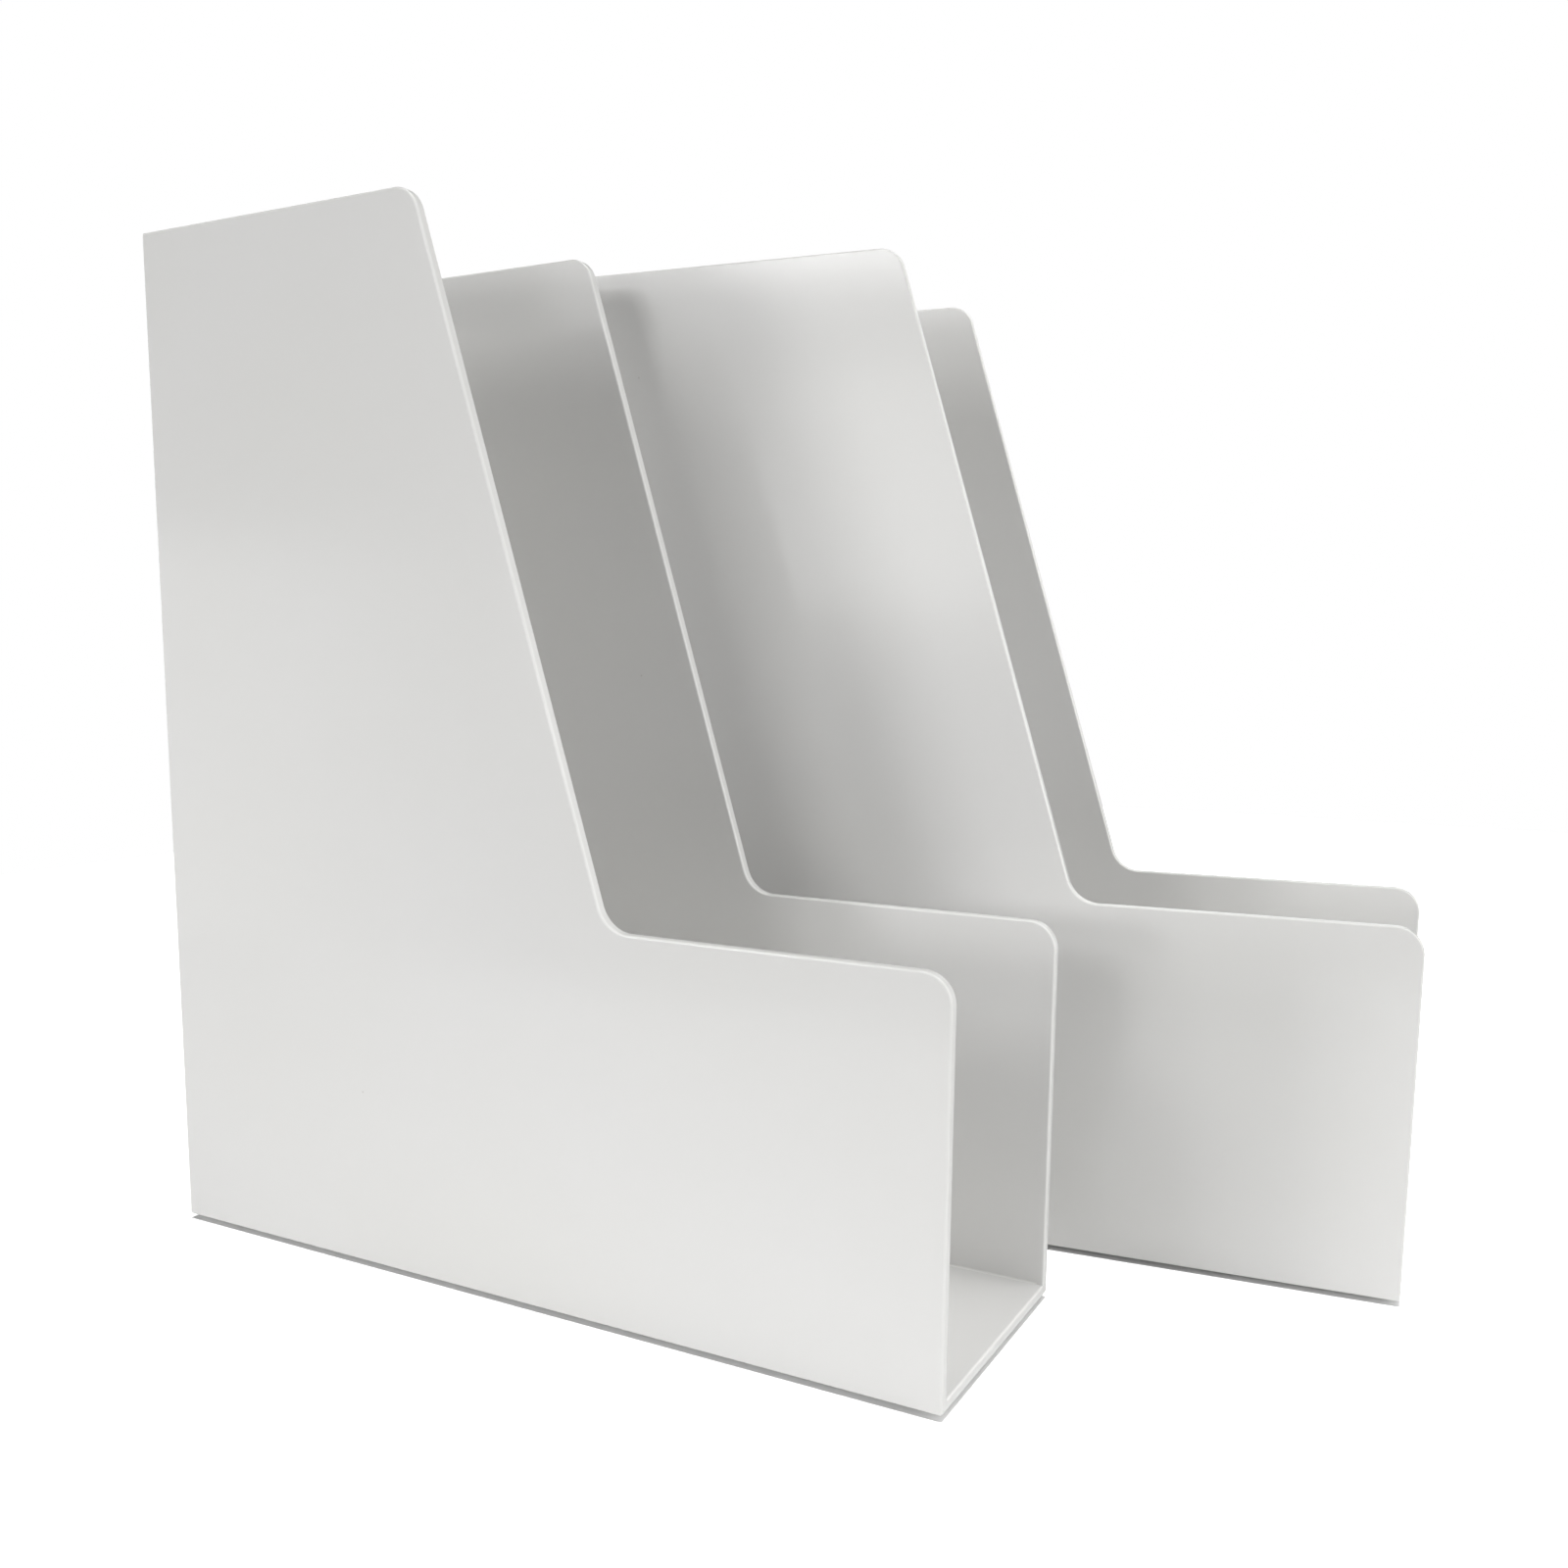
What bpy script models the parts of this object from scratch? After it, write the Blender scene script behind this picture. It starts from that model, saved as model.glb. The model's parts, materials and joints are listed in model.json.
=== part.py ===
"""Two magazine file holders, each cut from 3 mm white acrylic sheet and solvent-bonded.

Each holder is a left and a right side panel with a base panel and a back panel bonded between them,
standing on four stick-on rubber feet. The two holders are separate: they stand side by side on a desk,
the second one pulled forward and turned a few degrees.

Run it with: blender --background --python part.py

Axes: +X is to the holders' right, -Y is their open front, +Z is up. The origin is on the desk, at the
middle of the pair's bounding box.
"""

from math import cos, pi, radians, sin

import bmesh
import bpy
from mathutils import Matrix, Vector

# One holder, in metres.
HOLDER_LENGTH = 0.260  # back face to front edge
HOLDER_WIDTH = 0.078  # across both side panels
PANEL_HEIGHT = 0.2993  # a side panel, bottom edge to top edge
SHEET = 0.003  # thickness of the acrylic sheet

# The side panel's stepped outline, seen from the side.
FRONT_HEIGHT = 0.1077  # bottom edge to the low front edge
TOP_LENGTH = 0.1037  # back face to where the top edge meets the slope
SLOPE_FOOT = 0.1630  # back face to where the slope meets the low edge
CORNER_RADIUS = 0.008  # the two outer corners
SLOPE_FOOT_RADIUS = 0.0095  # the inner corner at the foot of the slope
ARC_STEP = radians(7.5)
SHARP_ANGLE = radians(50)  # faces that meet at less than this are shaded as one

# Edges and joints of the sheet.
ARRIS_RADIUS = 0.0006
ARRIS_SEGMENTS = 2
BOND_LINE = 0.0001  # thickness of the adhesive film between two pieces

# The stick-on rubber feet.
FOOT_RADIUS = 0.005
FOOT_HEIGHT = 0.0015
FOOT_EDGE_RADIUS = 0.0004
FOOT_EDGE_SEGMENTS = 3
FOOT_SIDES = 40
FOOT_INSET = 0.018  # foot centre to the holder's front, back and side faces

# The second holder's back left corner, measured from the first one's.
SECOND_TO_RIGHT = 0.0938
SECOND_FORWARD = 0.0918
SECOND_TURN = radians(5.77)  # about +Z


def clear_scene():
    for obj in list(bpy.data.objects):
        bpy.data.objects.remove(obj, do_unlink=True)


def make_material(name, colour, roughness):
    material = bpy.data.materials.new(name)
    material.use_nodes = True
    shader = material.node_tree.nodes["Principled BSDF"]
    shader.inputs["Base Color"].default_value = (*colour, 1.0)
    shader.inputs["Roughness"].default_value = roughness
    shader.inputs["Metallic"].default_value = 0.0
    material.diffuse_color = (*colour, 1.0)
    return material


def rounded(before, corner, after, radius):
    """The points of the arc that rounds a corner of an outline, from the first side to the second."""
    to_before = (before - corner).normalized()
    to_after = (after - corner).normalized()
    half_angle = to_before.angle(to_after) / 2
    towards_centre = (to_before + to_after).normalized()
    centre = corner + towards_centre * (radius / sin(half_angle))
    start = corner + to_before * (radius * cos(half_angle) / sin(half_angle)) - centre
    # angle_signed counts clockwise as positive, and the arc turns the other way round.
    sweep = (pi - 2 * half_angle) * (1 if to_before.angle_signed(to_after) > 0 else -1)
    steps = max(2, round(abs(sweep) / ARC_STEP))
    return [centre + Matrix.Rotation(sweep * step / steps, 2) @ start for step in range(steps + 1)]


def side_outline():
    """The side panel's outline as (y, z) points, with the back at +Y and z from its bottom edge."""
    back = HOLDER_LENGTH / 2
    front = -HOLDER_LENGTH / 2
    bottom_back = Vector((back, 0.0))
    top_back = Vector((back, PANEL_HEIGHT))
    slope_top = Vector((back - TOP_LENGTH, PANEL_HEIGHT))
    slope_foot = Vector((back - SLOPE_FOOT, FRONT_HEIGHT))
    top_front = Vector((front, FRONT_HEIGHT))
    bottom_front = Vector((front, 0.0))
    outline = [bottom_back, top_back]
    outline += rounded(top_back, slope_top, slope_foot, CORNER_RADIUS)
    outline += rounded(slope_top, slope_foot, top_front, SLOPE_FOOT_RADIUS)
    outline += rounded(slope_foot, top_front, bottom_front, CORNER_RADIUS)
    outline.append(bottom_front)
    return outline


def rectangle(width, height):
    return [Vector((0, 0)), Vector((width, 0)), Vector((width, height)), Vector((0, height))]


def sheet_mesh(name, outline, place, is_polished):
    """A piece of sheet: the outline filled and extruded by the sheet's thickness.

    place(a, b, depth) turns an outline point and a depth into the sheet into a position.
    is_polished(a, b, depth) says whether the arris whose middle is there is rounded. The others are bonded.
    """
    shape = bmesh.new()
    bevel_weight = shape.edges.layers.float.new("bevel_weight_edge")
    rings = [[shape.verts.new(place(a, b, depth)) for a, b in outline] for depth in (0.0, SHEET)]
    for depth, ring in zip((0.0, SHEET), rings):
        shape.faces.new(ring)
        for start in range(len(ring)):
            end = (start + 1) % len(ring)
            middle = (outline[start] + outline[end]) / 2
            edge = shape.edges.get((ring[start], ring[end]))
            edge[bevel_weight] = 1.0 if is_polished(middle.x, middle.y, depth) else 0.0
    for start in range(len(outline)):
        end = (start + 1) % len(outline)
        shape.faces.new((rings[0][start], rings[0][end], rings[1][end], rings[1][start]))
    bmesh.ops.recalc_face_normals(shape, faces=shape.faces)
    mesh = bpy.data.meshes.new(name)
    shape.to_mesh(mesh)
    shape.free()
    return mesh


def side_panel_mesh(name, outward):
    """A side panel with its middle plane at x = 0 and its bottom edge at z = 0.

    outward is the x direction of its outer face, which lies at depth 0.
    """

    def place(y, z, depth):
        return (outward * (SHEET / 2 - depth), y, z)

    def is_polished(y, z, depth):
        at_base = z < SHEET
        at_back = y > HOLDER_LENGTH / 2 - SHEET
        return depth == 0.0 or not (at_base or at_back)

    return sheet_mesh(name, side_outline(), place, is_polished)


def inner_width():
    """What fits between the side panels, less a bond line on each side."""
    return HOLDER_WIDTH - 2 * SHEET - 2 * BOND_LINE


def back_panel_mesh():
    """The back panel, centred on x, with its back face at y = 0 and its bottom edge at z = 0."""
    half = inner_width() / 2

    def place(x, z, depth):
        return (x - half, -depth, z)

    def is_polished(x, z, depth):
        at_bottom = z < SHEET and depth == 0.0
        at_top = z > PANEL_HEIGHT - SHEET
        return 0.0 < x < inner_width() and (at_bottom or at_top)

    return sheet_mesh("back_panel", rectangle(inner_width(), PANEL_HEIGHT), place, is_polished)


def base_panel_mesh():
    """The base panel, centred on x, with its front edge at y = 0 and its underside at z = 0."""
    half = inner_width() / 2
    length = HOLDER_LENGTH - SHEET - BOND_LINE

    def place(x, y, depth):
        return (x - half, y, depth)

    def is_polished(x, y, depth):
        return y == 0.0

    return sheet_mesh("base_panel", rectangle(inner_width(), length), place, is_polished)


def foot_mesh():
    """A round pad standing on z = 0, with its lower edge rounded over."""
    shape = bmesh.new()
    height = FOOT_HEIGHT - BOND_LINE
    middle = Matrix.Translation((0, 0, height / 2))
    bmesh.ops.create_cone(
        shape,
        cap_ends=True,
        segments=FOOT_SIDES,
        radius1=FOOT_RADIUS,
        radius2=FOOT_RADIUS,
        depth=height,
        matrix=middle,
    )
    lower_rim = [e for e in shape.edges if all(v.co.z < FOOT_EDGE_RADIUS for v in e.verts)]
    bmesh.ops.bevel(
        shape,
        geom=lower_rim,
        offset=FOOT_EDGE_RADIUS,
        segments=FOOT_EDGE_SEGMENTS,
        affect="EDGES",
        profile=0.5,
    )
    mesh = bpy.data.meshes.new("foot")
    shape.to_mesh(mesh)
    shape.free()
    return mesh


def add_piece(name, mesh, parent, location, material):
    if material.name not in mesh.materials:
        mesh.materials.append(material)
    obj = bpy.data.objects.new(name, mesh)
    bpy.context.scene.collection.objects.link(obj)
    obj.parent = parent
    obj.location = location
    return obj


def polish_arrises(panel):
    """Rounds the panel's exposed long edges, as polishing leaves them."""
    bevel = panel.modifiers.new("arris", "BEVEL")
    bevel.width = ARRIS_RADIUS
    bevel.segments = ARRIS_SEGMENTS
    bevel.limit_method = "WEIGHT"
    panel.data.shade_smooth()
    panel.data.set_sharp_from_angle(angle=SHARP_ANGLE)


def footprint(back_left, turn):
    """The four corners of a holder on the desk, from its back left corner and its turn about +Z."""
    right = Vector((cos(turn), sin(turn)))
    forward = Vector((sin(turn), -cos(turn)))
    across = right * HOLDER_WIDTH
    along = forward * HOLDER_LENGTH
    return [back_left, back_left + across, back_left + along, back_left + across + along]


def middle_of(points):
    """The middle of the box that holds the points."""
    xs = [point.x for point in points]
    ys = [point.y for point in points]
    return Vector(((min(xs) + max(xs)) / 2, (min(ys) + max(ys)) / 2))


def add_holder(name, centre, turn, meshes, acrylic, rubber):
    """One holder, on an empty at the middle of its footprint on the desk."""
    stand = bpy.data.objects.new(name, None)
    stand.location = (centre.x, centre.y, 0.0)
    stand.rotation_euler = (0.0, 0.0, turn)
    bpy.context.scene.collection.objects.link(stand)

    side_x = (HOLDER_WIDTH - SHEET) / 2
    half_length = HOLDER_LENGTH / 2
    places = {
        "left_panel": ("left", (-side_x, 0.0, FOOT_HEIGHT)),
        "right_panel": ("right", (side_x, 0.0, FOOT_HEIGHT)),
        "back_panel": ("back", (0.0, half_length, FOOT_HEIGHT)),
        "base_panel": ("base", (0.0, -half_length, FOOT_HEIGHT)),
    }
    for piece, (shape, location) in places.items():
        panel = add_piece(f"{name}_{piece}", meshes[shape], stand, location, acrylic)
        polish_arrises(panel)

    foot_x = HOLDER_WIDTH / 2 - FOOT_INSET
    foot_y = half_length - FOOT_INSET
    for end, y in (("front", -foot_y), ("back", foot_y)):
        for side, x in (("left", -foot_x), ("right", foot_x)):
            foot = add_piece(f"{name}_{end}_{side}_foot", meshes["foot"], stand, (x, y, 0.0), rubber)
            foot.data.shade_smooth()
            foot.data.set_sharp_from_angle(angle=SHARP_ANGLE)


def main():
    clear_scene()
    acrylic = make_material("white_acrylic", (0.84, 0.84, 0.83), 0.22)
    rubber = make_material("foot_rubber", (0.52, 0.52, 0.51), 0.6)
    meshes = {
        "left": side_panel_mesh("left_panel", -1),
        "right": side_panel_mesh("right_panel", 1),
        "back": back_panel_mesh(),
        "base": base_panel_mesh(),
        "foot": foot_mesh(),
    }
    first = footprint(Vector((0.0, 0.0)), 0.0)
    second = footprint(Vector((SECOND_TO_RIGHT, -SECOND_FORWARD)), SECOND_TURN)
    origin = middle_of(first + second)
    add_holder("first", middle_of(first) - origin, 0.0, meshes, acrylic, rubber)
    add_holder("second", middle_of(second) - origin, SECOND_TURN, meshes, acrylic, rubber)


main()
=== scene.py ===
import json
from math import atan2, cos, pi, radians, sin, tan

import bmesh
import bpy
from mathutils import Matrix, Vector


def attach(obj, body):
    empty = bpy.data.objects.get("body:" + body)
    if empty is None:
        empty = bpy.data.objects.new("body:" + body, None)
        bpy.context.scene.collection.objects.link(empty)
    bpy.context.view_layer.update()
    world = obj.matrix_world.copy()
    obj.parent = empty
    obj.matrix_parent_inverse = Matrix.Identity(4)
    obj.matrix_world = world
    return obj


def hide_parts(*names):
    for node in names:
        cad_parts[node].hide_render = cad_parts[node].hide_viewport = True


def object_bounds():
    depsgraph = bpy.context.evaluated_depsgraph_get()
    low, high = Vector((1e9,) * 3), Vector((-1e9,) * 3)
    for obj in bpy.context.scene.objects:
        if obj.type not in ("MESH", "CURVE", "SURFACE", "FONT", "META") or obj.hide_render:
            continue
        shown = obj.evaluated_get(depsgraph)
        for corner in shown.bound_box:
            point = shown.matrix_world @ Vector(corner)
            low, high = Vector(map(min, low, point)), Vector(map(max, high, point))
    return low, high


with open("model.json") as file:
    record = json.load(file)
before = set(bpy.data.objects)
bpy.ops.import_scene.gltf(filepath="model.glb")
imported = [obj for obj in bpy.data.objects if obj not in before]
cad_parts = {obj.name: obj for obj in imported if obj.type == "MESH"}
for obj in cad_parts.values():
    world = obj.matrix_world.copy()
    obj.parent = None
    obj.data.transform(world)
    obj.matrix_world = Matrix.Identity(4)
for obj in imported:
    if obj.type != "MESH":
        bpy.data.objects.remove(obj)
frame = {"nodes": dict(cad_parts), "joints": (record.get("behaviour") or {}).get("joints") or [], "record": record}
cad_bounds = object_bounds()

# ---------------------------------------------------------------- sizes, in metres

# The side panel's stepped outline. Its length and height come from the frame.
FRONT_HEIGHT = 0.1077
TOP_LENGTH = 0.1037
SLOPE_FOOT = 0.1630
CORNER_RADIUS = 0.008
SLOPE_FOOT_RADIUS = 0.0095
CUT_CORNER_RADIUS = 0.0007  # the square corners, as the cutter leaves them
ARC_STEP = radians(3)
FEWEST_ARC_STEPS = 3

ARRIS_RADIUS = 0.0006
ARRIS_STEPS = 5
ARRIS_START = 0.00005  # how soon a rounded arris begins beside a bonded one
NEARLY_STRAIGHT = 0.01  # two sides count as parallel when the sine between them is below this
SHARP_ANGLE = radians(40)  # faces that meet at less than this are shaded as one
MERGE_DISTANCE = 1e-6

BEAD_LEG = 0.0005  # the cement's fillet in the inner corners
BEAD_STEPS = 6
BEAD_SETBACK = 0.002  # how far behind the base panel's front edge the fillets start
FILM_RECESS = 0.00006  # how far the cement film stays below the panels' edges

# The foot's turned profile.
FOOT_EDGE_RADIUS = 0.0004
FOOT_EDGE_STEPS = 8
FOOT_DISH_RADIUS = 0.0022
FOOT_DISH_DEPTH = 0.00025
FOOT_DISH_STEPS = 8
FOOT_SIDES = 96
FOOT_MERGE_DISTANCE = 1e-7

# ---------------------------------------------------------------- materials

# Noise scales are in repeats per metre, and relief depths in metres.
ACRYLIC_IOR = 1.49
CLOUD_SCALE = 9.0
CLOUD_RANGE = (0.35, 0.65)  # from the pale colour to the shaded one
RIPPLE_SCALE = 16.0
GRAIN_SCALE = 1200.0
GRAIN_DEPTH = 0.000004
SCUFF_SCALE = 110.0
SCUFF_RANGE = (0.45, 0.75)  # from the least scuffed places to the most
SCUFF_TURN = radians(34)
SCUFF_STRETCH = (1.0, 1.0, 14.0)
SCUFF_ROUGHNESS = (-0.01, 0.04)  # what the least and the most scuffed places add to the roughness

SPECK_CELLS = 75.0
SPECK_EDGE = (0.016, 0.030)  # a speck fades out between these parts of a cell
SPECK_PATCHES = 38.0
SPECK_CHOICE = (0.60, 0.63)  # specks fade in where the patches' noise rises through this
SPECK_STRENGTH = 0.4
SPECK_COLOUR = (0.45, 0.43, 0.40)

CEMENT_COLOURS = ((0.83, 0.83, 0.81), (0.78, 0.78, 0.755))
CEMENT_FLOW_SCALE = 160.0
CEMENT_FLOW_DEPTH = 0.0001
CEMENT_ROUGHNESS = 0.2

RUBBER_COLOURS = ((0.46, 0.46, 0.45), (0.58, 0.58, 0.56))
RUBBER_BLOOM_SCALE = 320.0
RUBBER_BLOOM_RANGE = (0.3, 0.7)
RUBBER_ROUGHNESS = (0.55, 0.75)
RUBBER_GRAIN_SCALE = 2600.0
RUBBER_GRAIN_DEPTH = 0.00003

FLOOR_COLOURS = ((0.93, 0.93, 0.93), (0.91, 0.91, 0.91))
FLOOR_TONE_SCALE = 3.0
FLOOR_ROUGHNESS = 0.9
WHITE = (1.0, 1.0, 1.0)

# The sheet's finishes: (pale colour, shaded colour, roughness, depth of its waves).
FACE_FINISH = ((0.758, 0.755, 0.746), (0.748, 0.745, 0.729), 0.12, 0.00003)
# The arrises' colours are a lighter, warmer copy of the face's: a painted highlight along the rounded arrises.
ARRIS_HIGHLIGHT_FINISH = ((0.78, 0.78, 0.765), (0.76, 0.76, 0.74), 0.16, 0.00001)
# The cut edge's colours are a darker copy of the face's: painted shade along the cut edges.
CUT_EDGE_SHADE_FINISH = ((0.67, 0.67, 0.655), (0.64, 0.64, 0.625), 0.3, 0.00002)


def new_material(name):
    material = bpy.data.materials.new(name)
    material.use_nodes = True
    return material, material.node_tree, material.node_tree.nodes["Principled BSDF"]


def link(tree, source, target, entry):
    """Joins a source socket to a node's input."""
    tree.links.new(source, target.inputs[entry])


def object_coordinates(tree, turn=0.0, scale=(1.0, 1.0, 1.0)):
    """The piece's own coordinates, turned about x and scaled."""
    place = tree.nodes.new("ShaderNodeTexCoord")
    mapping = tree.nodes.new("ShaderNodeMapping")
    mapping.inputs["Rotation"].default_value = (turn, 0.0, 0.0)
    mapping.inputs["Scale"].default_value = scale
    link(tree, place.outputs["Object"], mapping, "Vector")
    return mapping.outputs["Vector"]


def noise(tree, place, per_metre, detail):
    made = tree.nodes.new("ShaderNodeTexNoise")
    made.inputs["Scale"].default_value = per_metre
    made.inputs["Detail"].default_value = detail
    link(tree, place, made, "Vector")
    return made.outputs["Fac"]


def remap(tree, value, low, high, to_low, to_high):
    """low..high of the value stretched to to_low..to_high, and held there outside it."""
    made = tree.nodes.new("ShaderNodeMapRange")
    made.inputs["From Min"].default_value = low
    made.inputs["From Max"].default_value = high
    made.inputs["To Min"].default_value = to_low
    made.inputs["To Max"].default_value = to_high
    link(tree, value, made, "Value")
    return made.outputs["Result"]


def arithmetic(tree, operation, first, second):
    """A Math node's result. Each operand is a number or a socket."""
    made = tree.nodes.new("ShaderNodeMath")
    made.operation = operation
    for entry, value in enumerate((first, second)):
        if isinstance(value, float):
            made.inputs[entry].default_value = value
        else:
            link(tree, value, made, entry)
    return made.outputs["Value"]


def blend_colours(tree, factor, first, second):
    """first where the factor is 0, second where it is 1. Each is a colour or a socket."""
    made = tree.nodes.new("ShaderNodeMix")
    made.data_type = "RGBA"
    link(tree, factor, made, "Factor")
    sockets = [socket for socket in made.inputs if socket.type == "RGBA"]
    for socket, value in zip(sockets, (first, second)):
        if isinstance(value, tuple):
            socket.default_value = (*value, 1.0)
        else:
            tree.links.new(value, socket)
    return next(socket for socket in made.outputs if socket.type == "RGBA")


def bump(tree, height, depth, normal=None):
    """Turns a height of 0 to 1 into relief of that depth in metres, on top of another bump's normal."""
    made = tree.nodes.new("ShaderNodeBump")
    made.inputs["Strength"].default_value = 1.0
    made.inputs["Distance"].default_value = depth
    link(tree, height, made, "Height")
    if normal:
        link(tree, normal, made, "Normal")
    return made.outputs["Normal"]


def dust_specks(tree, place):
    """1 at the few small specks that white acrylic always picks up, and 0 elsewhere."""
    cells = tree.nodes.new("ShaderNodeTexVoronoi")
    cells.inputs["Scale"].default_value = SPECK_CELLS
    link(tree, place, cells, "Vector")
    dots = remap(tree, cells.outputs["Distance"], *SPECK_EDGE, 1.0, 0.0)
    patches = noise(tree, place, SPECK_PATCHES, detail=1.0)
    chosen = remap(tree, patches, *SPECK_CHOICE, 0.0, 1.0)
    return arithmetic(tree, "MULTIPLY", dots, chosen)


def acrylic(name, pale, shade, roughness, waviness):
    """Opaque white acrylic: faintly cloudy, gently wavy, lightly scuffed, with a few specks of dust."""
    material, tree, shader = new_material(name)
    place = object_coordinates(tree)
    along_scuffs = object_coordinates(tree, turn=SCUFF_TURN, scale=SCUFF_STRETCH)

    cloud = remap(tree, noise(tree, place, CLOUD_SCALE, detail=3.0), *CLOUD_RANGE, 0.0, 1.0)
    sheet_colour = blend_colours(tree, cloud, pale, shade)
    specks = remap(tree, dust_specks(tree, place), 0.0, 1.0, 0.0, SPECK_STRENGTH)
    link(tree, blend_colours(tree, specks, sheet_colour, SPECK_COLOUR), shader, "Base Color")

    scuffs = noise(tree, along_scuffs, SCUFF_SCALE, detail=4.0)
    least, most = (roughness + change for change in SCUFF_ROUGHNESS)
    worn = remap(tree, scuffs, *SCUFF_RANGE, least, most)
    link(tree, worn, shader, "Roughness")

    ripple = bump(tree, noise(tree, place, RIPPLE_SCALE, detail=0.0), waviness)
    grain = bump(tree, noise(tree, place, GRAIN_SCALE, detail=2.0), GRAIN_DEPTH, ripple)
    link(tree, grain, shader, "Normal")
    shader.inputs["IOR"].default_value = ACRYLIC_IOR
    return material


def cement():
    """Dried acrylic cement: glossy and slightly warm, with a lumpy run."""
    material, tree, shader = new_material("acrylic_cement")
    flow = noise(tree, object_coordinates(tree), CEMENT_FLOW_SCALE, detail=3.0)
    link(tree, blend_colours(tree, flow, *CEMENT_COLOURS), shader, "Base Color")
    link(tree, bump(tree, flow, CEMENT_FLOW_DEPTH), shader, "Normal")
    shader.inputs["Roughness"].default_value = CEMENT_ROUGHNESS
    return material


def rubber():
    """Moulded grey rubber with a fine grain and a dusty bloom."""
    material, tree, shader = new_material("grey_rubber")
    place = object_coordinates(tree)
    bloom = noise(tree, place, RUBBER_BLOOM_SCALE, detail=3.0)
    link(tree, blend_colours(tree, bloom, *RUBBER_COLOURS), shader, "Base Color")
    worn = remap(tree, bloom, *RUBBER_BLOOM_RANGE, *RUBBER_ROUGHNESS)
    link(tree, worn, shader, "Roughness")
    grain = noise(tree, place, RUBBER_GRAIN_SCALE, detail=4.0)
    link(tree, bump(tree, grain, RUBBER_GRAIN_DEPTH), shader, "Normal")
    return material


def seen_by_camera(tree):
    """1 for the camera's own rays, and 0 for the rays that light or reflect."""
    return tree.nodes.new("ShaderNodeLightPath").outputs["Is Camera Ray"]


def under(tree, middle, width, length):
    """1 under the holder that has the empty at its middle, and 0 elsewhere on the floor."""
    place = tree.nodes.new("ShaderNodeTexCoord")
    place.object = middle
    parts = tree.nodes.new("ShaderNodeSeparateXYZ")
    link(tree, place.outputs["Object"], parts, "Vector")
    within = []
    for axis, size in (("X", width), ("Y", length)):
        near = arithmetic(tree, "COMPARE", parts.outputs[axis], 0.0)
        tolerance = near.node.inputs[2]
        tolerance.default_value = size / 2
        within.append(near)
    return arithmetic(tree, "MULTIPLY", *within)


def floor_material(holders):
    """A matt white tabletop.

    To the camera it is as white as the background, except in the gap under a holder.
    """
    material, tree, shader = new_material("pale_floor")
    tone = noise(tree, object_coordinates(tree), FLOOR_TONE_SCALE, detail=3.0)
    link(tree, blend_colours(tree, tone, *FLOOR_COLOURS), shader, "Base Color")
    covered = [under(tree, holder.middle, holder.width, holder.length) for holder in holders]
    in_a_gap = arithmetic(tree, "MAXIMUM", *covered)
    in_the_open = arithmetic(tree, "SUBTRACT", 1.0, in_a_gap)
    washed_out = arithmetic(tree, "MULTIPLY", in_the_open, seen_by_camera(tree))
    link(tree, washed_out, shader, "Emission Strength")
    shader.inputs["Emission Color"].default_value = (*WHITE, 1.0)
    shader.inputs["Roughness"].default_value = FLOOR_ROUGHNESS
    return material


def studio_world():
    """A dim room with a bright low band behind, as the glossy sheet reflects it.

    To the camera it is plain white.
    """
    world = bpy.data.worlds.new("studio_room")
    world.use_nodes = True
    tree = world.node_tree
    direction = tree.nodes.new("ShaderNodeTexCoord")
    parts = tree.nodes.new("ShaderNodeSeparateXYZ")
    link(tree, direction.outputs["Generated"], parts, "Vector")
    low = remap(tree, parts.outputs["Z"], BAND_TOP - BAND_BLUR, BAND_TOP + BAND_BLUR, 1.0, 0.0)
    behind = remap(tree, parts.outputs["Y"], *BAND_FADES_BEHIND, 0.0, 1.0)
    room = blend_colours(tree, arithmetic(tree, "MULTIPLY", low, behind), ROOM_TONE, BAND_TONE)
    seen = blend_colours(tree, seen_by_camera(tree), room, WHITE)
    link(tree, seen, tree.nodes["Background"], "Color")
    return world


# ---------------------------------------------------------------- sheet panels

# A panel's materials, in the order of its slots: the faces, the rounded arrises and the cut edge.
FACE, ARRIS, CUT_EDGE = range(3)


def rounded(before, corner, after, radius):
    """The points of the arc that rounds an outline's corner."""
    to_before = (before - corner).normalized()
    to_after = (after - corner).normalized()
    half_angle = to_before.angle(to_after) / 2
    centre = corner + (to_before + to_after).normalized() * (radius / sin(half_angle))
    start = corner + to_before * (radius / tan(half_angle)) - centre
    # angle_signed counts clockwise as positive, and the arc turns the other way round.
    sweep = (pi - 2 * half_angle) * (1 if to_before.angle_signed(to_after) > 0 else -1)
    steps = max(FEWEST_ARC_STEPS, round(abs(sweep) / ARC_STEP))
    return [centre + Matrix.Rotation(sweep * step / steps, 2) @ start for step in range(steps + 1)]


def square_corners(low_a, low_b, high_a, high_b):
    """A rectangle's four square corners, as outline_of takes them."""
    return [(low_a, low_b, 0.0), (high_a, low_b, 0.0), (high_a, high_b, 0.0), (low_a, high_b, 0.0)]


def outline_of(corners):
    """An outline's points from its corners, given as (a, b, radius) anticlockwise."""
    places = [Vector((a, b)) for a, b, radius in corners]
    points = []
    for index, (a, b, radius) in enumerate(corners):
        after = places[(index + 1) % len(places)]
        if radius:
            points += rounded(places[index - 1], places[index], after, radius)
        else:
            points.append(places[index])
    return points


def inward_step(before, point, after, before_polished, after_polished):
    """The step at an outline's point that brings in by one unit the polished sides beside it.

    Beside a bonded side, the step runs along that side. It is zero where nothing there is polished.
    """
    first = (point - before).normalized().orthogonal()
    second = (after - point).normalized().orthogonal()
    if before_polished == after_polished:
        return before_polished * (first + second) / (1 + first.dot(second))
    across = first.cross(second)
    if abs(across) < NEARLY_STRAIGHT:
        return Vector((0.0, 0.0))
    return (after_polished * first.orthogonal() - before_polished * second.orthogonal()) / across


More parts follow.
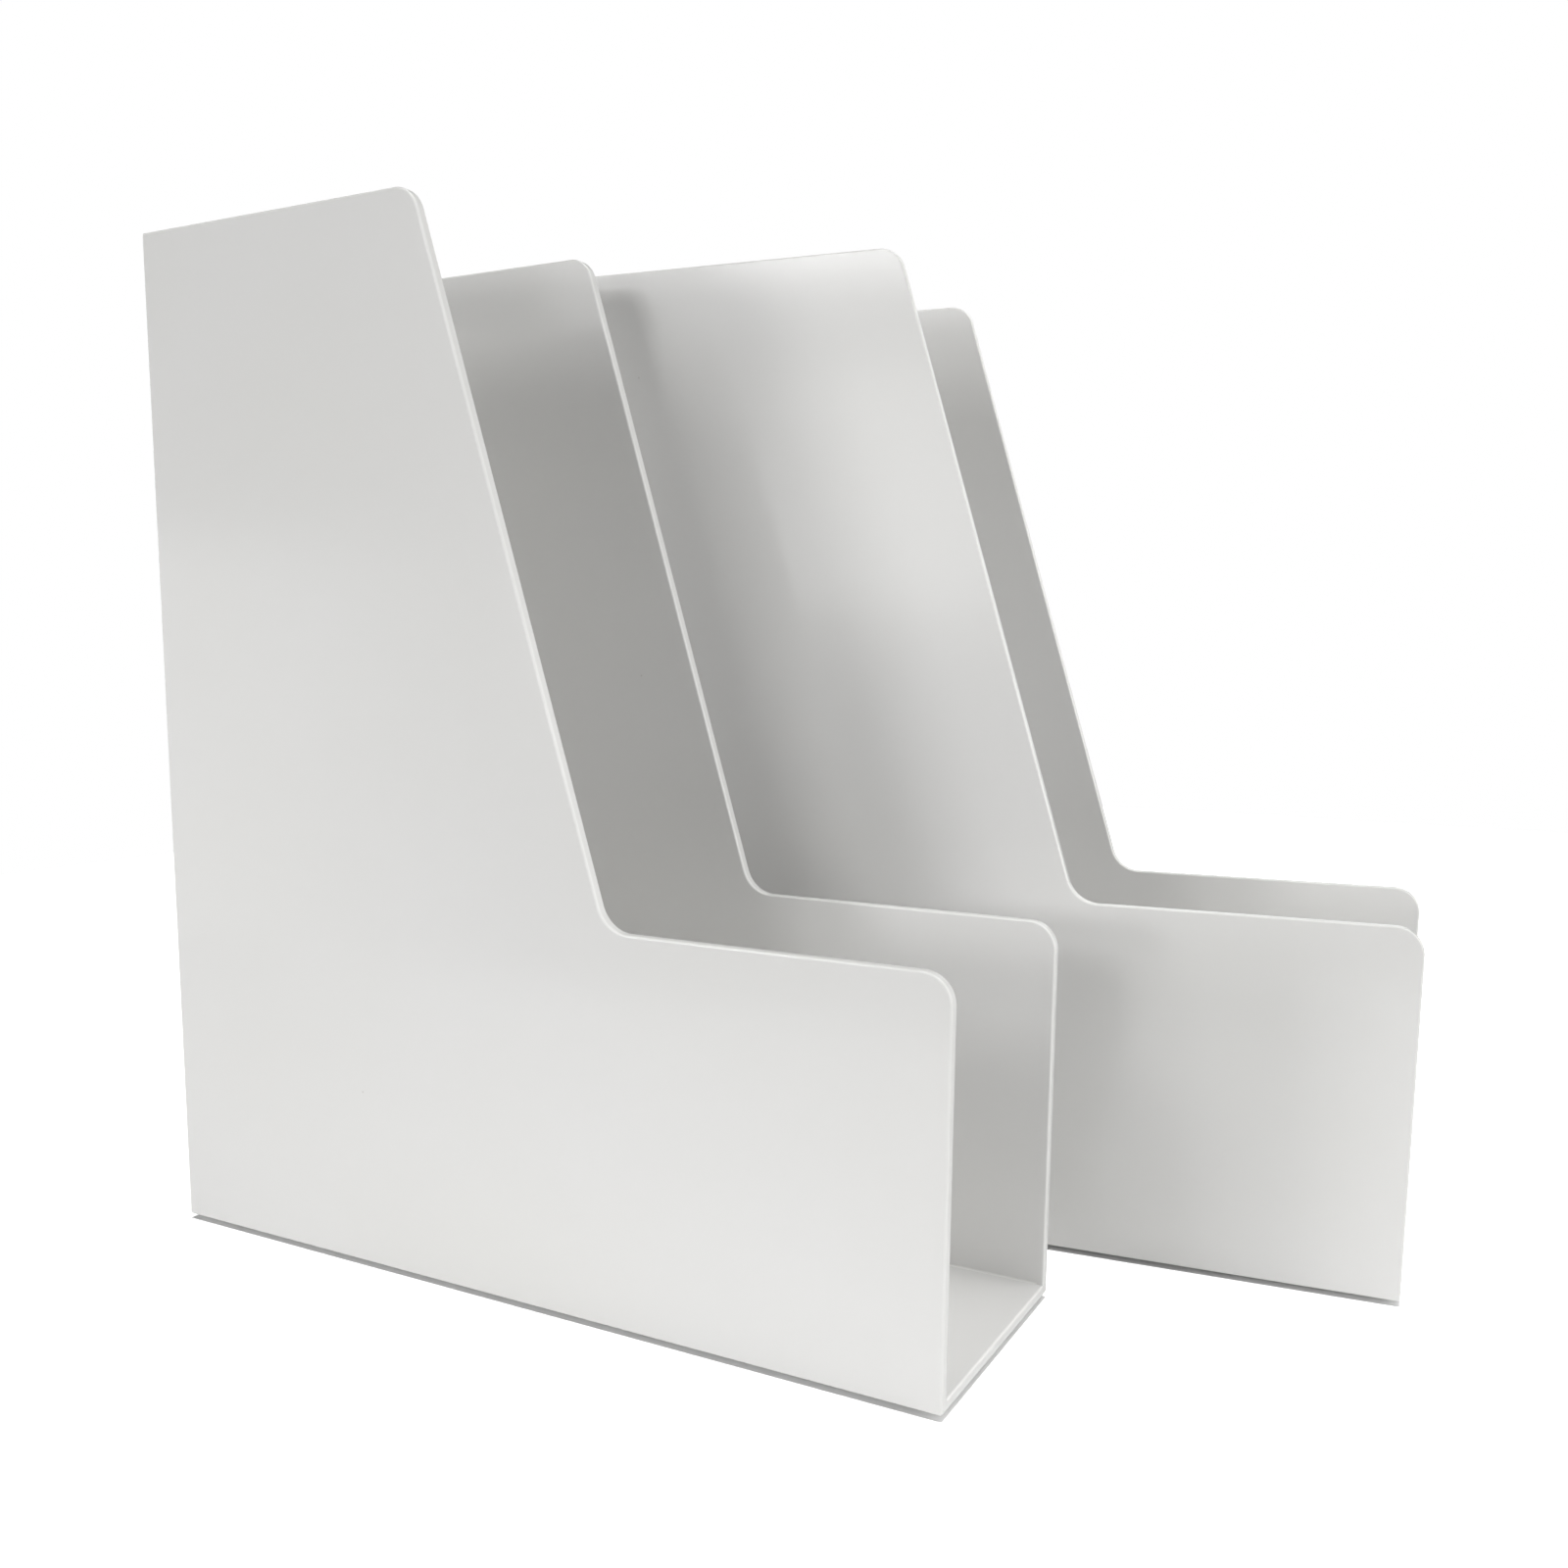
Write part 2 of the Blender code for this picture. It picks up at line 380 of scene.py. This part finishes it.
def edge_column(point, outer_step, inner_step, thickness):
    """The points round a sheet's edge, from its outer face to its inner one.

    Each is a (place in the outline's plane, depth from the outer face) pair.
    """
    outer_radius = ARRIS_RADIUS if outer_step.length else 0.0
    inner_radius = ARRIS_RADIUS if inner_step.length else 0.0
    column = []
    for level in range(ARRIS_STEPS + 1):
        turn = pi / 2 * level / ARRIS_STEPS
        inset = outer_step * outer_radius * (1 - sin(turn))
        column.append((point + inset, outer_radius * (1 - cos(turn))))
    for level in range(ARRIS_STEPS + 1):
        turn = pi / 2 * level / ARRIS_STEPS
        inset = inner_step * inner_radius * (1 - cos(turn))
        column.append((point + inset, thickness - inner_radius * (1 - sin(turn))))
    return column


def sheet_panel(name, outline, thickness, place, is_polished, materials):
    """A panel of sheet with rounded arrises where it is polished and square ones where it is bonded.

    place(a, b, depth) turns a point of the outline and a depth from the outer face into a position.
    is_polished(a, b, outer) says whether the side with its middle there has a rounded arris on that
    face.
    """
    count = len(outline)
    middles = [(point + outline[(index + 1) % count]) / 2 for index, point in enumerate(outline)]
    polished = {
        outer: [float(is_polished(middle.x, middle.y, outer)) for middle in middles]
        for outer in (True, False)
    }
    shape = bmesh.new()
    columns = []
    for index, point in enumerate(outline):
        before, after = outline[index - 1], outline[(index + 1) % count]
        steps = [
            inward_step(before, point, after, polished[outer][index - 1], polished[outer][index])
            for outer in (True, False)
        ]
        column = edge_column(point, *steps, thickness)
        columns.append([shape.verts.new(place(spot.x, spot.y, depth)) for spot, depth in column])
    for ring in (0, -1):
        shape.faces.new([column[ring] for column in columns]).material_index = FACE
    for index, column in enumerate(columns):
        following = columns[(index + 1) % count]
        for level in range(len(column) - 1):
            corners = (column[level], following[level], following[level + 1], column[level + 1])
            finish = CUT_EDGE if level == ARRIS_STEPS else ARRIS
            shape.faces.new(corners).material_index = finish
    bmesh.ops.remove_doubles(shape, verts=shape.verts, dist=MERGE_DISTANCE)
    bmesh.ops.dissolve_degenerate(shape, edges=shape.edges, dist=MERGE_DISTANCE)
    bmesh.ops.recalc_face_normals(shape, faces=shape.faces)
    return finished(name, shape, materials)


def finished(name, shape, materials):
    """The object made from a bmesh, shaded smooth between its sharp edges."""
    mesh = bpy.data.meshes.new(name)
    shape.to_mesh(mesh)
    shape.free()
    mesh.shade_smooth()
    mesh.set_sharp_from_angle(angle=SHARP_ANGLE)
    for material in materials:
        mesh.materials.append(material)
    obj = bpy.data.objects.new(name, mesh)
    bpy.context.scene.collection.objects.link(obj)
    weighted = obj.modifiers.new("flat_faces_stay_flat", "WEIGHTED_NORMAL")
    weighted.keep_sharp = True
    weighted.weight = 100
    return obj


# ---------------------------------------------------------------- one holder


class Holder:
    """One holder's boxes in axes turned with it, and the pieces built from them."""

    def __init__(self, prefix, body, turn):
        self.prefix = prefix
        self.body = body
        self.turned = Matrix.Rotation(turn, 4, "Z")
        self.boxes = {}
        straighten = self.turned.inverted()
        for name in frame["record"]["behaviour"]["bodies"][body]:
            corners = [straighten @ v.co for v in frame["nodes"][name].data.vertices]
            low = Vector(min(c[axis] for c in corners) for axis in range(3))
            high = Vector(max(c[axis] for c in corners) for axis in range(3))
            self.boxes[name.removeprefix(prefix + "_")] = (low, high)
        self.width = self.boxes["right_panel"][1].x - self.boxes["left_panel"][0].x
        self.length = self.boxes["left_panel"][1].y - self.boxes["left_panel"][0].y
        self.middle = self.add_middle()

    def add_middle(self):
        """An empty on the floor under the holder's middle, turned and moved with the holder."""
        low, high = self.boxes["left_panel"][0], self.boxes["right_panel"][1]
        middle = bpy.data.objects.new(f"{self.prefix}_middle", None)
        bpy.context.scene.collection.objects.link(middle)
        floor_point = self.turned @ Vector(((low.x + high.x) / 2, (low.y + high.y) / 2, 0.0))
        middle.matrix_world = Matrix.Translation(floor_point) @ self.turned
        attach(middle, self.body)
        return middle

    def keep(self, obj, node=None):
        """Turns a finished piece with its holder and puts it on its body, in place of its CAD node."""
        obj.data.transform(self.turned)
        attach(obj, self.body)
        if node:
            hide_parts(f"{self.prefix}_{node}")

    def side_panel(self, side, outward, materials):
        low, high = self.boxes[f"{side}_panel"]
        base_top = self.boxes["base_panel"][1].z
        back_panel_front = self.boxes["back_panel"][0].y
        corners = [
            (high.y, low.z, CUT_CORNER_RADIUS),
            (high.y, high.z, CUT_CORNER_RADIUS),
            (back_panel_front, high.z, 0.0),
            (back_panel_front - ARRIS_START, high.z, 0.0),
            (high.y - TOP_LENGTH, high.z, CORNER_RADIUS),
            (high.y - SLOPE_FOOT, low.z + FRONT_HEIGHT, SLOPE_FOOT_RADIUS),
            (low.y, low.z + FRONT_HEIGHT, CORNER_RADIUS),
            (low.y, base_top + ARRIS_START, 0.0),
            (low.y, base_top, 0.0),
            (low.y, low.z, CUT_CORNER_RADIUS),
        ]
        outer_face = high.x if outward > 0 else low.x

        def place(y, z, depth):
            return (outer_face - outward * depth, y, z)

        def is_polished(y, z, outer):
            return outer or (z > base_top and y < back_panel_front)

        name = f"{self.prefix}_{side}_side"
        panel = sheet_panel(name, outline_of(corners), high.x - low.x, place, is_polished, materials)
        self.keep(panel, f"{side}_panel")

    def back_panel(self, materials):
        low, high = self.boxes["back_panel"]
        corners = square_corners(low.x, low.z, high.x, high.z)

        def place(x, z, depth):
            return (x, high.y - depth, z)

        def is_polished(x, z, outer):
            return z == high.z or (z == low.z and outer)

        name = f"{self.prefix}_back"
        panel = sheet_panel(name, outline_of(corners), high.y - low.y, place, is_polished, materials)
        self.keep(panel, "back_panel")

    def base_panel(self, materials):
        low, high = self.boxes["base_panel"]
        corners = square_corners(low.x, low.y, high.x, high.y)

        def place(x, y, depth):
            return (x, y, low.z + depth)

        def is_polished(x, y, outer):
            return y == low.y

        name = f"{self.prefix}_base"
        panel = sheet_panel(name, outline_of(corners), high.z - low.z, place, is_polished, materials)
        self.keep(panel, "base_panel")

    def cement_runs(self, material):
        """The thin films between the bonded edges, and the fillets they leave in the inner corners."""
        base_low, base_high = self.boxes["base_panel"]
        back_low, back_high = self.boxes["back_panel"]
        left, right = self.boxes["left_panel"][1].x, self.boxes["right_panel"][0].x
        shape = bmesh.new()
        for side, end in ((left, base_low.x), (right, base_high.x)):
            film_x = sorted((side, end))
            add_block(
                shape,
                (film_x[0], base_low.y + FILM_RECESS + ARRIS_RADIUS, base_low.z + FILM_RECESS),
                (film_x[1], base_high.y, base_high.z - FILM_RECESS),
            )
            add_block(
                shape,
                (film_x[0], back_low.y + FILM_RECESS, back_low.z + FILM_RECESS),
                (film_x[1], back_high.y - FILM_RECESS, back_high.z - FILM_RECESS - ARRIS_RADIUS),
            )
            inward = 1.0 if side == left else -1.0
            front = Vector((side, base_low.y + BEAD_SETBACK, base_high.z))
            back = Vector((side, back_low.y, base_high.z))
            top = Vector((side, back_low.y, back_high.z - ARRIS_RADIUS))
            add_fillet(shape, front, back, Vector((inward, 0, 0)), Vector((0, 0, 1)))
            add_fillet(shape, back, top, Vector((inward, 0, 0)), Vector((0, -1, 0)))
        add_block(
            shape,
            (left, base_high.y, base_low.z + FILM_RECESS),
            (right, back_low.y, base_high.z - FILM_RECESS),
        )
        corner_left = Vector((left, back_low.y, base_high.z))
        corner_right = Vector((right, back_low.y, base_high.z))
        add_fillet(shape, corner_left, corner_right, Vector((0, -1, 0)), Vector((0, 0, 1)))
        bmesh.ops.recalc_face_normals(shape, faces=shape.faces)
        self.keep(finished(f"{self.prefix}_cement", shape, [material]))

    def foot(self, corner, material):
        """A turned rubber foot, stuck to the base panel, with a rounded rim and a dished underside."""
        low, high = self.boxes[f"{corner}_foot"]
        top = self.boxes["base_panel"][0].z
        middle = (low + high) / 2
        radius = (high.x - low.x) / 2
        profile = [(0.0, top), (radius, top)]
        for step in range(FOOT_EDGE_STEPS + 1):
            turn = pi / 2 * step / FOOT_EDGE_STEPS
            rim = radius - FOOT_EDGE_RADIUS * (1 - cos(turn))
            profile.append((rim, low.z + FOOT_EDGE_RADIUS * (1 - sin(turn))))
        for step in range(FOOT_DISH_STEPS + 1):
            across = FOOT_DISH_RADIUS * (1 - step / FOOT_DISH_STEPS)
            deep = FOOT_DISH_DEPTH * (1 - (across / FOOT_DISH_RADIUS) ** 2)
            profile.append((across, low.z + deep))
        shape = bmesh.new()
        points = [shape.verts.new((middle.x + r, middle.y, z)) for r, z in profile]
        edges = [shape.edges.new(pair) for pair in zip(points, points[1:])]
        bmesh.ops.spin(
            shape,
            geom=points + edges,
            cent=(middle.x, middle.y, 0.0),
            axis=(0, 0, 1),
            angle=2 * pi,
            steps=FOOT_SIDES,
            use_merge=True,
        )
        bmesh.ops.remove_doubles(shape, verts=shape.verts, dist=FOOT_MERGE_DISTANCE)
        bmesh.ops.recalc_face_normals(shape, faces=shape.faces)
        pad = finished(f"{self.prefix}_{corner}_pad", shape, [material])
        self.keep(pad, f"{corner}_foot")


def add_block(shape, low, high):
    """A box between two corners."""
    low, high = Vector(low), Vector(high)
    place = Matrix.LocRotScale((low + high) / 2, None, high - low)
    bmesh.ops.create_cube(shape, size=1.0, matrix=place)


def add_fillet(shape, start, end, first_way, second_way):
    """A hollow fillet of cement along an inner corner, between walls that run the two ways from it."""
    section = [Vector((0.0, 0.0, 0.0))]
    for step in range(BEAD_STEPS + 1):
        turn = pi / 2 * step / BEAD_STEPS
        section.append(BEAD_LEG * (first_way * (1 - sin(turn)) + second_way * (1 - cos(turn))))
    rings = [[shape.verts.new(point + offset) for offset in section] for point in (start, end)]
    for ring in rings:
        shape.faces.new(ring)
    for index in range(len(section)):
        after = (index + 1) % len(section)
        shape.faces.new((rings[0][index], rings[0][after], rings[1][after], rings[1][index]))


def build_holders():
    sheet = [
        acrylic("white_acrylic_face", *FACE_FINISH),
        # The arrises' copy of the sheet, painted lighter as a highlight.
        acrylic("white_acrylic_arris_painted_highlight", *ARRIS_HIGHLIGHT_FINISH),
        # The cut edge's copy of the sheet, painted darker as shade.
        acrylic("white_acrylic_cut_edge_painted_shade", *CUT_EDGE_SHADE_FINISH),
    ]
    joint_cement = cement()
    foot_rubber = rubber()
    slide = next(joint for joint in frame["joints"] if joint["name"] == "second_holder_slide")
    second_turn = atan2(slide["axis"][0], -slide["axis"][1])
    holders = [Holder("first", "first_holder", 0.0), Holder("second", "second_holder", second_turn)]
    for holder in holders:
        holder.side_panel("left", -1.0, sheet)
        holder.side_panel("right", 1.0, sheet)
        holder.back_panel(sheet)
        holder.base_panel(sheet)
        holder.cement_runs(joint_cement)
        for end in ("front", "back"):
            for side in ("left", "right"):
                holder.foot(f"{end}_{side}", foot_rubber)
    return holders


# ---------------------------------------------------------------- studio

FLOOR_SIDE = 1.8
FLOOR_LEFT_EDGE = -0.43

# The room that the sheet reflects. The bright band's limits are parts of a direction one unit long.
BAND_TOP = 0.073
BAND_FADES_BEHIND = (0.62, 0.76)
BAND_BLUR = 0.012
BAND_TONE = (1.12, 1.12, 1.12)
ROOM_TONE = (0.015, 0.015, 0.014)

SOFTBOX_DISTANCE = 2.0
# name: (bearing, elevation, size, watts). A bearing runs from 0 in front of the holders (-Y) through
# 90 at their right and 180 behind them to 270 at their left.
SOFTBOXES = {
    "overhead": (0, 90, 1.1, 14.5),
    "left_behind": (203, 8, 0.35, 2.5),
    "left_low": (242, 4, 0.4, 8.5),
    "left": (238, 23, 0.5, 2.5),
    "left_small": (249.5, 20.5, 0.3, 0.4),
    "left_mid": (254.5, 24.3, 0.4, 4.1),
    "left_window": (257, 9, 0.4, 1.1),
    "left_wide": (259, 12, 0.8, 1.7),
    "right_side": (95, 15, 1.0, 5.0),
    "right": (42, 12, 1.1, 8.2),
    "front": (338, 40, 1.2, 2.8),
    "front_high": (0, 65, 1.1, 10.5),
    "front_left": (325, 14, 0.8, 8.9),
    "front_low": (345, 6, 0.8, 4.4),
    "front_right": (15, 20, 0.9, 6.5),
}

# The camera, as the photographer stood: 0.3 m to the left of the first holder and just in front of
# the pair, looking slightly down.
CAMERA_PLACE = (-0.3956, -0.2031, 0.1797)
CAMERA_HEADING = radians(27.222)  # from +X towards +Y
CAMERA_DOWN = radians(7.869)
CAMERA_ROLL = radians(0.736)
LENS_MM = 32.725
SENSOR_MM = 36.0
SHIFT_RIGHT = -0.02343
SHIFT_UP = 0.04686


def build_studio(holders):
    bpy.ops.mesh.primitive_grid_add(x_subdivisions=4, y_subdivisions=4, size=FLOOR_SIDE)
    bpy.context.object.location = (FLOOR_LEFT_EDGE + FLOOR_SIDE / 2, 0.0, 0.0)
    floor = bpy.context.object
    floor.name = "floor"
    floor.data.materials.append(floor_material(holders))

    bpy.context.scene.world = studio_world()

    low, high = cad_bounds
    middle = (Vector(low) + Vector(high)) / 2
    for name, (bearing, elevation, size, watts) in SOFTBOXES.items():
        bearing, elevation = radians(bearing), radians(elevation)
        level = cos(elevation)
        away = Vector((sin(bearing) * level, -cos(bearing) * level, sin(elevation)))
        lamp = bpy.data.lights.new(f"{name}_softbox", "AREA")
        lamp.size = size
        lamp.energy = watts
        softbox = bpy.data.objects.new(f"{name}_softbox", lamp)
        softbox.location = middle + away * SOFTBOX_DISTANCE
        softbox.rotation_euler = away.to_track_quat("Z", "Y").to_euler()
        bpy.context.scene.collection.objects.link(softbox)
    bpy.context.scene.view_settings.view_transform = "Standard"


def build_camera():
    camera = bpy.data.objects.new("photo_camera", bpy.data.cameras.new("photo_camera"))
    forward = Vector(
        (
            cos(CAMERA_HEADING) * cos(CAMERA_DOWN),
            sin(CAMERA_HEADING) * cos(CAMERA_DOWN),
            -sin(CAMERA_DOWN),
        )
    )
    level_right = Vector((sin(CAMERA_HEADING), -cos(CAMERA_HEADING), 0.0))
    right = Matrix.Rotation(-CAMERA_ROLL, 3, forward) @ level_right
    up = right.cross(forward)
    facing = Matrix((right, up, -forward)).transposed()
    camera.matrix_world = Matrix.Translation(CAMERA_PLACE) @ facing.to_4x4()
    camera.data.sensor_width = SENSOR_MM
    camera.data.lens = LENS_MM
    camera.data.shift_x = SHIFT_RIGHT
    camera.data.shift_y = SHIFT_UP
    camera.data.clip_start = 0.01
    bpy.context.scene.collection.objects.link(camera)
    bpy.context.scene.camera = camera


build_studio(build_holders())
build_camera()
